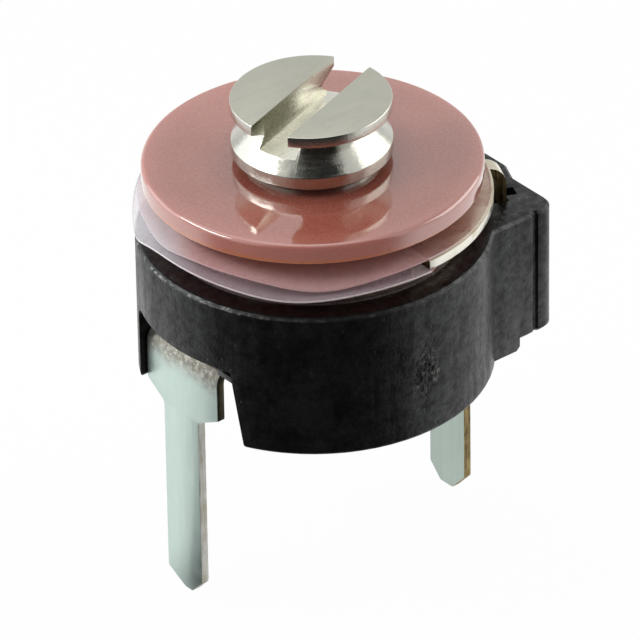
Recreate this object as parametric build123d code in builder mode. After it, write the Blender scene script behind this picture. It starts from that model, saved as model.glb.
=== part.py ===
from build123d import *
from math import cos, radians, sin
import os

# A film dielectric trimmer capacitor: a round housing with a lug at its side, a stack of
# half-round stator and rotor vanes with films between them, and a slotted spindle that turns
# the rotor vanes over the stator vanes.
# Millimetres, +Z up along the spindle. The origin is the centre of the housing's foot, on the
# plane where it sits on a circuit board. +X points at the lug.

# Housing
cup_radius = 5.05
rim_height = 4.5
wall = 0.75
recess_height = 1.8
floor_thickness = 0.92
rim_chamfer = 0.08
foot_round = 0.18

# Lug at the housing's side, which holds the stator's terminal and the plate's two legs
lug_depth = 0.8
lug_side_inset = 1.43
lug_corner = 0.55
lug_under_height = 0.49
lug_foot_inset = 1.39
lug_foot_height = 0.2
lug_foot_break = 0.12
lug_edge_break = 0.08
lug_under_break = 0.12
boss_depth = 0.3
boss_half_width = 1.05
boss_flank = 0.65
rib_groove_inset = 0.81
rib_groove_radius = 0.1
rib_groove_depth = 0.08

# Gate mark of the moulding, on the side between the two terminals
gate_x = -0.15
gate_height = 2.14
gate_radius = 0.42
gate_depth = 0.1

# Notch in the housing's wall for the rotor's terminal, and the rib that guides it
notch_top = 2.45
notch_left_gap = 0.06
notch_right_gap = 1.185
notch_slant = 0.37
notch_round = 0.4
notch_corner = 0.12
foot_corner = 0.1
guide_gap = 0.06
guide_width = 0.95
guide_length = 0.85
guide_drop = 0.18

# Sheet metal terminals
sheet = 0.26
bend_radius = 0.39
pin_width = 1.53
shoulder_width = 3.15
shoulder_slope = 0.48
shear_round = 0.06
root_round = 0.16
tip_round = 0.1
rotor_pin_gap = 0.1
rotor_pin_y = 0.93
rotor_shoulder_y = 0.84
rotor_pin_length = 6.4
rotor_tip_left = (0.76, 0.37)
rotor_tip_right = (0.46, 0.48)
stator_pin_inset = 0.27
stator_pin_length = 6.31
stator_tip_left = (0.45, 0.47)
stator_tip_right = (0.55, 0.6)
eyelet_radius = 2.1
tongue_width = 2.3
tongue_overlap = 0.8
terminal_clearance = 0.05

# Vanes and films
stator_count = 5
film = 0.06
film_bore_clearance = 0.1
rotor_vane_thickness = 0.2
vane_gap = 0.04
vane_wall_gap = 0.3
film_wall_gap = 0.1
stator_wall_gap = 0.1
plate_inset = 0.03
under_film_inset = 0.12
over_film_inset = 0.1
under_film_overhang = 0.05
stator_hub_gap = 0.25

# Legs of the stator plate and ears of the stator vanes
leg_angle = 24.9
leg_width = 0.56
leg_standoff = 0.45
leg_foot_height = 0.7
leg_clearance = 0.06
leg_bend = 0.3
relief_angle = 23.2
relief_width = 0.4
relief_depth = 0.38
spacer_wall_gap = 0.12

# Spindle
head_radius = 2.27
head_rim = 0.31
head_height = 1.67
head_chamfer = 0.03
groove_radius = 1.6
flange_height = 0.37
flange_rise = 0.26
neck_radius = 1.9
slot_width = 1.18
slot_depth = 0.94
slot_angle = 19.0
shaft_radius = 0.9
shaft_flat = 0.7
journal_radius = 0.66
running_clearance = 0.05

# Rotor's small parts
spacer_radius = 1.5
disc_inset = 0.25
disc_thickness = 0.58
disc_chamfer = 0.1
disc_lift = 0.48
spring_radius = 1.75
spring_sheet = 0.12
spring_dish = 0.24
washer_radius = 1.25
washer_thickness = 0.2
rivet_radius = 0.95
rivet_height = 0.22
contact_gap = 0.02

# Radii and reaches worked out from the sizes above
well_radius = cup_radius - wall
vane_radius = well_radius - vane_wall_gap
small_film_radius = well_radius - film_wall_gap
stator_radius = well_radius - stator_wall_gap
plate_radius = cup_radius - plate_inset
over_film_radius = cup_radius - over_film_inset
under_film_radius = cup_radius + under_film_overhang
disc_radius = cup_radius - disc_inset
film_bore = spacer_radius + film_bore_clearance
leg_reach = cup_radius + leg_standoff
leg_inner = leg_reach - sheet
ear_reach = leg_inner - leg_bend
leg_slot_width = leg_width + 2 * leg_clearance
leg_slot_end = leg_reach + leg_clearance
lug_reach = cup_radius + lug_depth
lug_half_width = cup_radius - lug_side_inset
lug_foot_reach = lug_reach - lug_foot_inset
boss_reach = lug_reach + boss_depth
rib_groove_x = lug_reach - rib_groove_inset
rotor_pin_face = well_radius - rotor_pin_gap
stator_pin_face = cup_radius - stator_pin_inset
tongue_reach = vane_radius - tongue_overlap
tongue_slot_width = tongue_width + 2 * terminal_clearance
channel_end = cup_radius + terminal_clearance
blade_slot_start = stator_pin_face - terminal_clearance
blade_slot_width = shoulder_width + 2 * terminal_clearance
shoulder_left = rotor_shoulder_y + shoulder_width / 2
shoulder_right = rotor_shoulder_y - shoulder_width / 2
notch_left = shoulder_left + notch_left_gap
notch_right = shoulder_right - notch_right_gap

# Heights worked out from the sizes above
floor_top = recess_height + floor_thickness
rotor_room = rotor_vane_thickness + 2 * (film + vane_gap)
stator_pitch = sheet + rotor_room
stator_heights = [floor_top + level * stator_pitch for level in range(stator_count)]
rotor_heights = [base + sheet + film + vane_gap for base in stator_heights[:-1]]
plate_height = stator_heights[-1]
stack_top = plate_height + sheet + film
disc_base = stack_top + disc_lift
disc_top = disc_base + disc_thickness
flange_base = disc_top + flange_rise
head_top = flange_base + head_height
rotor_bend_foot = recess_height - bend_radius - sheet
stator_bend_foot = floor_top - bend_radius - sheet
spring_top = recess_height - sheet - contact_gap
washer_top = spring_top - spring_dish - spring_sheet
rivet_top = washer_top - washer_thickness

# The rotor's own plane, with its X axis along the screwdriver slot
rotor_plane = Plane(origin=(0, 0, 0), x_dir=(cos(radians(slot_angle)), sin(radians(slot_angle)), 0))

os.makedirs("parts", exist_ok=True)


def save(piece, name):
    """Labels a finished piece and writes its file."""
    piece.label = name
    export_step(piece, "parts/" + name + ".step")


def leg_plane(side):
    """Upright plane through the spindle's axis and the middle of one leg: X outwards, Y up."""
    angle = radians(side * leg_angle)
    return Plane(origin=(0, 0, 0), x_dir=(cos(angle), sin(angle), 0), z_dir=(sin(angle), -cos(angle), 0))


def radial_bar(side, inner, outer, width, angle=leg_angle, mode=Mode.ADD):
    """A bar in plan along the radius of one leg."""
    with PolarLocations((inner + outer) / 2, 1, start_angle=side * angle):
        Rectangle(outer - inner, width, mode=mode)


def half_ring(radius, bore):
    """A half disc in plan on the +X side, with room for the rotor at its middle."""
    Circle(radius)
    Circle(bore, mode=Mode.SUBTRACT)
    with Locations((-radius, 0)):
        Rectangle(2 * radius, 3 * radius, mode=Mode.SUBTRACT)


def bent_section(reach, face, top, foot, bend):
    """Edges of a strip's section: flat under its top height, then bent down to its foot."""
    inner = face - sheet if reach < face else face + sheet
    with BuildLine() as section:
        FilletPolyline(
            (reach, top),
            (face, top),
            (face, foot),
            (inner, foot),
            (inner, top - sheet),
            (reach, top - sheet),
            radius=[0, bend + sheet, 0, 0, bend, 0],
            close=True,
        )
    return section.edges()


def blade_outline(shoulder_y, pin_y, top, length, tip_left, tip_right):
    """Edges of a terminal's face: wide at its shoulders, which stand on the board, and a pin below.

    The pin's tip slopes at both corners, each given as the slope's width and height.
    """
    left = shoulder_y + shoulder_width / 2
    right = shoulder_y - shoulder_width / 2
    pin_left = pin_y + pin_width / 2
    pin_right = pin_y - pin_width / 2
    with BuildLine() as outline:
        FilletPolyline(
            (right, top),
            (left, top),
            (left, 0),
            (pin_left, -shoulder_slope),
            (pin_left, tip_left[1] - length),
            (pin_left - tip_left[0], -length),
            (pin_right + tip_right[0], -length),
            (pin_right, tip_right[1] - length),
            (pin_right, -shoulder_slope),
            (right, 0),
            radius=[0, 0, shear_round, root_round, tip_round, tip_round]
            + [tip_round, tip_round, root_round, shear_round],
            close=True,
        )
    return outline.edges()


# Section of the shaft that carries the rotor vanes: round with two flats
with BuildSketch() as shaft_section:
    Circle(shaft_radius)
    Rectangle(2 * shaft_radius, 2 * shaft_flat, mode=Mode.INTERSECT)


# Housing, starting with the lug
with BuildPart() as housing:
    with BuildSketch(Plane.XY.offset(lug_under_height)):
        with BuildLine():
            FilletPolyline(
                (0, -lug_half_width),
                (lug_reach, -lug_half_width),
                (lug_reach, -boss_half_width - boss_flank),
                (boss_reach, -boss_half_width),
                (boss_reach, boss_half_width),
                (lug_reach, boss_half_width + boss_flank),
                (lug_reach, lug_half_width),
                (0, lug_half_width),
                radius=[0, lug_corner, 0, 0, 0, 0, lug_corner, 0],
                close=True,
            )
        make_face()
        with Locations(
            (rib_groove_x, lug_half_width + rib_groove_radius - rib_groove_depth),
            (rib_groove_x, -lug_half_width - rib_groove_radius + rib_groove_depth),
        ):
            Circle(rib_groove_radius, mode=Mode.SUBTRACT)
    extrude(amount=rim_height - lug_under_height)
    chamfer(housing.edges().group_by(Axis.Z)[0], lug_under_break)
    with BuildSketch(Plane.XZ):
        with BuildLine():
            Polyline(
                (0, lug_foot_height),
                (lug_foot_reach - lug_foot_break, lug_foot_height),
                (lug_foot_reach, lug_foot_height + lug_foot_break),
                (lug_foot_reach, rim_height),
                (0, rim_height),
                close=True,
            )
        make_face()
    extrude(amount=lug_half_width, both=True)
    chamfer(housing.edges().group_by(Axis.Z)[-1], lug_edge_break)
    with BuildSketch():
        Circle(well_radius)
    extrude(amount=rim_height, mode=Mode.SUBTRACT)
    # round wall, then the notch in it
    with BuildSketch(Plane.YZ):
        with BuildLine():
            FilletPolyline(
                (well_radius, 0),
                (cup_radius, 0),
                (cup_radius, rim_height - rim_chamfer),
                (cup_radius - rim_chamfer, rim_height),
                (well_radius, rim_height),
                radius=[0, foot_round, 0, 0, 0],
                close=True,
            )
        make_face()
    revolve(axis=Axis.Z)
    with BuildSketch(Plane.YZ.offset(-cup_radius - wall)):
        with BuildLine():
            FilletPolyline(
                (notch_left, notch_top),
                (notch_left, 0),
                (notch_left + notch_round, 0),
                (notch_left + notch_round, -wall),
                (notch_right - notch_slant - notch_round, -wall),
                (notch_right - notch_slant - notch_round, 0),
                (notch_right - notch_slant, 0),
                (notch_right, notch_top),
                radius=[notch_round, foot_corner, 0, 0, 0, 0, foot_corner, notch_corner],
                close=True,
            )
        make_face()
    extrude(amount=cup_radius, mode=Mode.SUBTRACT)
    # floor of the well
    with BuildSketch(Plane.XY.offset(recess_height)):
        Circle(well_radius)
    extrude(amount=floor_thickness)
    # rib beside the rotor's terminal
    with BuildSketch(Plane.XY.offset(recess_height)):
        with Locations((guide_length / 2 - rotor_pin_face, shoulder_right - guide_gap - guide_width / 2)):
            Rectangle(guide_length, guide_width)
    extrude(amount=-guide_drop)
    # bore for the spindle's journal
    with BuildSketch():
        Circle(journal_radius + running_clearance)
    extrude(amount=rim_height, mode=Mode.SUBTRACT)
    # pockets for the ears and slots for the legs
    with BuildSketch(Plane.XY.offset(floor_top)):
        for side in (-1, 1):
            radial_bar(side, vane_radius, leg_slot_end, leg_slot_width)
            radial_bar(side, leg_inner, leg_reach + relief_depth, relief_width, relief_angle)
    extrude(amount=rim_height, mode=Mode.SUBTRACT)
    with BuildSketch():
        for side in (-1, 1):
            radial_bar(side, leg_inner - leg_clearance, leg_slot_end, leg_slot_width)
    extrude(amount=rim_height, mode=Mode.SUBTRACT)
    # slot for the stator's terminal, and the channel down which its tongue is bent
    with BuildSketch():
        with Locations(((blade_slot_start + channel_end) / 2, 0)):
            Rectangle(channel_end - blade_slot_start, blade_slot_width)
    extrude(amount=floor_top - sheet, mode=Mode.SUBTRACT)
    with BuildSketch(Plane.XY.offset(floor_top - 2 * sheet - bend_radius)):
        with Locations(((well_radius - wall / 2 + channel_end) / 2, 0)):
            Rectangle(channel_end - well_radius + wall / 2, tongue_slot_width)
    extrude(amount=rim_height, mode=Mode.SUBTRACT)
    with BuildSketch(Plane.XY.offset(floor_top - sheet)):
        with Locations(((tongue_reach + well_radius) / 2, 0)):
            Rectangle(well_radius - tongue_reach + 2 * terminal_clearance, tongue_slot_width)
    extrude(amount=rim_height, mode=Mode.SUBTRACT)
    # gate mark
    with BuildSketch(Plane.XZ.offset(cup_radius - gate_depth)):
        with Locations((gate_x, gate_height)):
            Circle(gate_radius)
    extrude(amount=wall, mode=Mode.SUBTRACT)
save(housing.part, "housing")


# Rotor's terminal: an eyelet under the floor, and a strip bent down in the notch
with BuildPart() as rotor_terminal:
    with BuildSketch(Plane.XY.offset(recess_height - sheet)):
        Circle(eyelet_radius)
        with Locations((-rotor_pin_face / 2 + (bend_radius + sheet) / 2, rotor_shoulder_y)):
            Rectangle(rotor_pin_face - bend_radius - sheet, shoulder_width)
        Circle(journal_radius + running_clearance, mode=Mode.SUBTRACT)
    extrude(amount=sheet)
    with BuildSketch(Plane.XZ.offset(-shoulder_left)):
        make_face(
            bent_section(-eyelet_radius, -rotor_pin_face, recess_height, rotor_bend_foot - sheet, bend_radius)
        )
    extrude(amount=shoulder_width)
    with BuildSketch(Plane.YZ.offset(-rotor_pin_face)):
        make_face(
            blade_outline(
                rotor_shoulder_y, rotor_pin_y, rotor_bend_foot, rotor_pin_length, rotor_tip_left, rotor_tip_right
            )
        )
    extrude(amount=sheet)
save(rotor_terminal.part, "rotor_terminal")


# Stator's terminal: a blade in the lug, bent inwards to a tongue under the lowest stator vane
with BuildPart() as stator_terminal:
    with BuildSketch(Plane.XZ.offset(-tongue_width / 2)):
        make_face(
            bent_section(tongue_reach, stator_pin_face + sheet, floor_top, stator_bend_foot - sheet, bend_radius)
        )
    extrude(amount=tongue_width)
    with BuildSketch(Plane.YZ.offset(stator_pin_face)):
        make_face(
            blade_outline(0, 0, stator_bend_foot, stator_pin_length, stator_tip_left, stator_tip_right)
        )
    extrude(amount=sheet)
save(stator_terminal.part, "stator_terminal")


# Stator vanes in the well, each with two ears that reach the legs of the plate above
for level in range(stator_count - 1):
    with BuildPart() as stator_vane:
        with BuildSketch(Plane.XY.offset(stator_heights[level])):
            half_ring(stator_radius, spacer_radius + stator_hub_gap)
            for side in (-1, 1):
                radial_bar(side, vane_radius, ear_reach, leg_width)
        extrude(amount=sheet)
    save(stator_vane.part, f"stator_vane_{level + 1}")

    with BuildPart() as stator_spacers:
        with BuildSketch(Plane.XY.offset(stator_heights[level] + sheet)):
            for side in (-1, 1):
                radial_bar(side, well_radius + spacer_wall_gap, ear_reach, leg_width)
        extrude(amount=stator_pitch - sheet)
    save(stator_spacers.part, f"stator_spacers_{level + 1}")


# Stator plate on top, with its two legs bent down into the lug
with BuildPart() as stator_plate:
    with BuildSketch(Plane.XY.offset(plate_height)):
        half_ring(plate_radius, spacer_radius + stator_hub_gap)
    extrude(amount=sheet)
    for side in (-1, 1):
        with BuildSketch(leg_plane(side)):
            make_face(bent_section(vane_radius, leg_reach, plate_height + sheet, leg_foot_height, leg_bend))
        extrude(amount=leg_width / 2, both=True)
save(stator_plate.part, "stator_plate")


# Films: one over each stator vane and one under each but the lowest
film_heights = [base + sheet for base in stator_heights] + [base - film for base in stator_heights[1:]]
film_heights.sort()
for level, height in enumerate(film_heights):
    with BuildPart() as film_disc:
        with BuildSketch(Plane.XY.offset(height)):
            if height > plate_height:
                Circle(over_film_radius)
            elif height + film >= plate_height:
                # the film under the plate keeps inside the plate's edge, with room for the posts
                Circle(under_film_radius)
                with Locations((under_film_radius, 0)):
                    Rectangle(2 * under_film_radius, 2 * under_film_radius, mode=Mode.SUBTRACT)
                Circle(plate_radius - under_film_inset)
                for side in (-1, 1):
                    radial_bar(
                        side,
                        well_radius + spacer_wall_gap - leg_clearance,
                        leg_reach,
                        leg_slot_width,
                        mode=Mode.SUBTRACT,
                    )
            else:
                Circle(small_film_radius)
            Circle(film_bore, mode=Mode.SUBTRACT)
        extrude(amount=film)
    save(film_disc.part, f"film_{level + 1}")


# Rotor vanes, keyed to the shaft, with a spacer under each
spacer_base = floor_top + vane_gap
for level, height in enumerate(rotor_heights):
    with BuildPart() as rotor_spacer:
        with BuildSketch(rotor_plane.offset(spacer_base)):
            Circle(spacer_radius)
            add(shaft_section.sketch, mode=Mode.SUBTRACT)
        extrude(amount=height - spacer_base)
    save(rotor_spacer.part, f"rotor_spacer_{level + 1}")

    with BuildPart() as rotor_vane:
        with BuildSketch(rotor_plane.offset(height)):
            Circle(vane_radius)
            with Locations((0, vane_radius)):
                Rectangle(3 * vane_radius, 2 * vane_radius, mode=Mode.SUBTRACT)
            Circle(spacer_radius)
            add(shaft_section.sketch, mode=Mode.SUBTRACT)
        extrude(amount=rotor_vane_thickness)
    save(rotor_vane.part, f"rotor_vane_{level + 1}")
    spacer_base = height + rotor_vane_thickness

with BuildPart() as rotor_collar:
    with BuildSketch(rotor_plane.offset(spacer_base)):
        Circle(spacer_radius)
        add(shaft_section.sketch, mode=Mode.SUBTRACT)
    extrude(amount=disc_base - spacer_base)
save(rotor_collar.part, "rotor_collar")


# Red disc over the stack
with BuildPart() as cover_disc:
    with BuildSketch(rotor_plane.offset(disc_base)):
        Circle(disc_radius)
        add(shaft_section.sketch, mode=Mode.SUBTRACT)
    extrude(amount=disc_thickness)
    rims = cover_disc.edges().filter_by(GeomType.CIRCLE).group_by(SortBy.RADIUS)[-1]
    chamfer(rims.group_by(Axis.Z)[-1], disc_chamfer)
    chamfer(rims.group_by(Axis.Z)[0], disc_chamfer / 2)
save(cover_disc.part, "cover_disc")


# Spindle: slotted head with a V groove, flange, neck, keyed shaft, journal and riveted end
with BuildPart() as rotor_spindle:
    with BuildSketch(Plane.XZ):
        with BuildLine():
            Polyline(
                (0, disc_top),
                (neck_radius, disc_top),
                (neck_radius, flange_base),
                (head_radius, flange_base),
                (head_radius, flange_base + flange_height),
                (groove_radius, flange_base + flange_height + head_radius - groove_radius),
                (head_radius, head_top - head_rim),
                (head_radius, head_top - head_chamfer),
                (head_radius - head_chamfer, head_top),
                (0, head_top),
                close=True,
            )
        make_face()
    revolve(axis=Axis.Z)
    with BuildSketch(rotor_plane.offset(floor_top + vane_gap)):
        add(shaft_section.sketch)
    extrude(amount=disc_top - floor_top - vane_gap)
    with BuildSketch(Plane.XY.offset(rivet_top)):
        Circle(journal_radius)
    extrude(amount=floor_top + vane_gap - rivet_top)
    with BuildSketch(Plane.XY.offset(rivet_top - rivet_height)):
        Circle(rivet_radius)
    extrude(amount=rivet_height)
    chamfer(rotor_spindle.edges().group_by(Axis.Z)[0], rivet_height / 2)
    with BuildSketch(rotor_plane.offset(head_top)):
        Rectangle(3 * head_radius, slot_width)
    extrude(amount=-slot_depth, mode=Mode.SUBTRACT)
save(rotor_spindle.part, "rotor_spindle")


# Dished spring between the rotor's terminal and the washer that the spindle is riveted over
with BuildPart() as contact_spring:
    with BuildSketch(Plane.XZ):
        with BuildLine():
            Polyline(
                (journal_radius + contact_gap, washer_top),
                (spring_radius, spring_top - spring_sheet),
                (spring_radius, spring_top),
                (journal_radius + contact_gap, washer_top + spring_sheet),
                close=True,
            )
        make_face()
    revolve(axis=Axis.Z)
save(contact_spring.part, "contact_spring")

with BuildPart() as retaining_washer:
    with BuildSketch(Plane.XY.offset(rivet_top)):
        Circle(washer_radius)
        Circle(journal_radius + contact_gap, mode=Mode.SUBTRACT)
    extrude(amount=washer_thickness)
save(retaining_washer.part, "retaining_washer")
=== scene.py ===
import math

import bmesh
import bpy
from mathutils import Matrix, Vector, noise


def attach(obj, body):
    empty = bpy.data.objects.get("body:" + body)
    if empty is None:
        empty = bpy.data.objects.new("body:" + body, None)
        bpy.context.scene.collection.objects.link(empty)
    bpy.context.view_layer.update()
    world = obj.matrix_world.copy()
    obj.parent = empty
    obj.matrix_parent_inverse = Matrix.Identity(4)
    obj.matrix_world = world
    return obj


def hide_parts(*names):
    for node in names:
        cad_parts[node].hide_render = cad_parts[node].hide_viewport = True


# The looks of a film dielectric trimmer capacitor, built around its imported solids.
# Lengths below are in millimetres, and each mesh is brought to metres when it is made.

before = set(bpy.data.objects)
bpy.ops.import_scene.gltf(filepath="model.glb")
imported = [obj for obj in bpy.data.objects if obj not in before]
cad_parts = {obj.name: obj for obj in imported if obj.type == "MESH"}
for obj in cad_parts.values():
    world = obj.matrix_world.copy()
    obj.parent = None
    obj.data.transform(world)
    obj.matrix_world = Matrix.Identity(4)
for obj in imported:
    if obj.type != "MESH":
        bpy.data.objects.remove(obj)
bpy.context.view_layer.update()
MM = 0.001

HOUSING_BODY = "housing_body"
ROTOR_BODY = "rotor_body"

# Sizes that the looks share with the solids
CUP_RADIUS = 5.05
RIM_HEIGHT = 4.5
PLATE_HEIGHT = 5.36
SHEET = 0.26
FILM = 0.06
DISC_BASE = 6.16
DISC_TOP = 6.74
DISC_RADIUS = 4.8
HEAD_RADIUS = 2.27
FLANGE_BASE = 7.0
HEAD_TOP = 8.67
SLOT_ANGLE = 19.0
SLOT_WIDTH = 1.18
SLOT_DEPTH = 0.94
NECK_RADIUS = 1.9
FLANGE_HEIGHT = 0.37
GROOVE_RADIUS = 1.6
HEAD_RIM = 0.31
SHAFT_RADIUS = 0.9
SHAFT_FLAT = 0.7
SHAFT_BASE = 2.76
JOURNAL_RADIUS = 0.66
RIVET_RADIUS = 0.95
RIVET_TOP = 0.96
RIVET_HEIGHT = 0.22
FILM_BORE = 1.6
GATE = (-0.15, 2.14)
POST_ANGLE = 24.9
POST_WIDTH = 0.68
PLATE_RADIUS = 5.02

# The rotor leans a little to the photograph's left, as the real one does
LEAN = 0.5
LEAN_BASE = 2.6


# Camera, fitted to the photograph

MODEL_TURN = 39.0
ELEVATION = 32.4
DISTANCE = 240.0
FOCAL_PIXELS = 8520.0
ROLL = -0.9
SIDE = 640
AIM_PIXEL = (316.0, 299.0)
AIM_HEIGHT = 2.0


def make_camera():
    """A pinhole camera that sees the point on the axis at AIM_HEIGHT at AIM_PIXEL."""
    tip = math.radians(ELEVATION)
    roll = math.radians(ROLL)
    forward = Vector((0, math.cos(tip), -math.sin(tip)))
    right = Vector((1, 0, 0))
    up = right.cross(forward)
    rolled_right = math.cos(roll) * right + math.sin(roll) * up
    rolled_up = math.cos(roll) * up - math.sin(roll) * right
    across = (AIM_PIXEL[0] - SIDE / 2) / FOCAL_PIXELS
    above = (SIDE / 2 - AIM_PIXEL[1]) / FOCAL_PIXELS
    ray = forward + across * rolled_right + above * rolled_up
    place = Vector((0, 0, AIM_HEIGHT)) - DISTANCE * ray
    turn = math.radians(MODEL_TURN)

    def to_model(v):
        return Vector(
            (
                math.cos(turn) * v.x + math.sin(turn) * v.y,
                math.cos(turn) * v.y - math.sin(turn) * v.x,
                v.z,
            )
        )

    data = bpy.data.cameras.new("photo_camera")
    data.sensor_width = 36.0
    data.lens = FOCAL_PIXELS / SIDE * data.sensor_width
    data.clip_start = 0.01
    data.clip_end = 5.0
    camera = bpy.data.objects.new("photo_camera", data)
    bpy.context.scene.collection.objects.link(camera)
    x_axis = to_model(rolled_right)
    y_axis = to_model(rolled_up)
    z_axis = -to_model(forward)
    place = to_model(place) * MM
    camera.matrix_world = Matrix(
        (
            (x_axis.x, y_axis.x, z_axis.x, place.x),
            (x_axis.y, y_axis.y, z_axis.y, place.y),
            (x_axis.z, y_axis.z, z_axis.z, place.z),
            (0, 0, 0, 1),
        )
    )
    bpy.context.scene.camera = camera


def screen_direction(right, away, up):
    """A direction in the model's frame from the photograph's right, away and up."""
    turn = math.radians(MODEL_TURN)
    return Vector(
        (
            math.cos(turn) * right + math.sin(turn) * away,
            math.cos(turn) * away - math.sin(turn) * right,
            up,
        )
    ).normalized()


# Material nodes


class Finish:
    """A material under construction, with short calls for the nodes that it needs."""

    def __init__(self, name, color, roughness, metallic=0.0):
        self.material = bpy.data.materials.new(name)
        self.material.use_nodes = True
        self.tree = self.material.node_tree
        self.shader = self.tree.nodes["Principled BSDF"]
        self.shader.inputs["Base Color"].default_value = (*color, 1)
        self.shader.inputs["Roughness"].default_value = roughness
        self.shader.inputs["Metallic"].default_value = metallic
        self.coordinates = self.tree.nodes.new("ShaderNodeTexCoord").outputs["Object"]
        self.relief = None

    def link(self, output, socket):
        self.tree.links.new(output, socket)

    def mapping(self, scale=(1, 1, 1), turn=(0, 0, 0), place=(0, 0, 0)):
        node = self.tree.nodes.new("ShaderNodeMapping")
        node.inputs["Scale"].default_value = scale
        node.inputs["Rotation"].default_value = turn
        node.inputs["Location"].default_value = place
        self.link(self.coordinates, node.inputs["Vector"])
        return node.outputs["Vector"]

    def noise(self, scale, detail=4.0, rough=0.55, vector=None, distortion=0.0):
        node = self.tree.nodes.new("ShaderNodeTexNoise")
        node.inputs["Scale"].default_value = scale
        node.inputs["Detail"].default_value = detail
        node.inputs["Roughness"].default_value = rough
        node.inputs["Distortion"].default_value = distortion
        self.link(vector or self.coordinates, node.inputs["Vector"])
        return node.outputs["Fac"]

    def cells(self, scale):
        node = self.tree.nodes.new("ShaderNodeTexVoronoi")
        node.inputs["Scale"].default_value = scale
        self.link(self.coordinates, node.inputs["Vector"])
        return node.outputs["Distance"]

    def remap(self, value, low, high, to_low=0.0, to_high=1.0, smooth=True):
        node = self.tree.nodes.new("ShaderNodeMapRange")
        node.interpolation_type = "SMOOTHSTEP" if smooth else "LINEAR"
        self.link(value, node.inputs["Value"])
        node.inputs["From Min"].default_value = low
        node.inputs["From Max"].default_value = high
        node.inputs["To Min"].default_value = to_low
        node.inputs["To Max"].default_value = to_high
        return node.outputs["Result"]

    def math(self, operation, first, second=None):
        node = self.tree.nodes.new("ShaderNodeMath")
        node.operation = operation
        for socket, value in zip(node.inputs, (first, second)):
            if value is None:
                continue
            if isinstance(value, (int, float)):
                socket.default_value = value
            else:
                self.link(value, socket)
        return node.outputs["Value"]

    def part_of_place(self, axis):
        """One coordinate of the place, in metres, or the distance from the axis."""
        node = self.tree.nodes.new("ShaderNodeSeparateXYZ")
        self.link(self.coordinates, node.inputs["Vector"])
        if axis != "R":
            return node.outputs[axis]
        x_squared = self.math("MULTIPLY", node.outputs["X"], node.outputs["X"])
        y_squared = self.math("MULTIPLY", node.outputs["Y"], node.outputs["Y"])
        return self.math("SQRT", self.math("ADD", x_squared, y_squared))

    def along(self, right, away):
        """How far the place lies to the photograph's right or away from the camera, in metres."""
        node = self.tree.nodes.new("ShaderNodeVectorMath")
        node.operation = "DOT_PRODUCT"
        self.link(self.coordinates, node.inputs[0])
        node.inputs[1].default_value = screen_direction(right, away, 0)
        return node.outputs["Value"]

    def mix(self, factor, first, second):
        """A colour between two, each given as numbers or as an output."""
        node = self.tree.nodes.new("ShaderNodeMix")
        node.data_type = "RGBA"
        for socket, value in ((node.inputs[0], factor), (node.inputs[6], first), (node.inputs[7], second)):
            if isinstance(value, (int, float)):
                socket.default_value = value
            elif isinstance(value, tuple):
                socket.default_value = (*value, 1)
            else:
                self.link(value, socket)
        return node.outputs[2]

    def color(self, output):
        self.link(output, self.shader.inputs["Base Color"])

    def roughness(self, output):
        self.link(output, self.shader.inputs["Roughness"])

    def bump(self, height, distance, strength=1.0):
        """Adds relief, each layer over the one before."""
        node = self.tree.nodes.new("ShaderNodeBump")
        node.inputs["Strength"].default_value = strength
        node.inputs["Distance"].default_value = distance * MM
        self.link(height, node.inputs["Height"])
        if self.relief is not None:
            self.link(self.relief, node.inputs["Normal"])
        self.relief = node.outputs["Normal"]
        self.link(self.relief, self.shader.inputs["Normal"])

    def set(self, **values):
        for name, value in values.items():
            self.shader.inputs[name.replace("_", " ")].default_value = value


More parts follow.
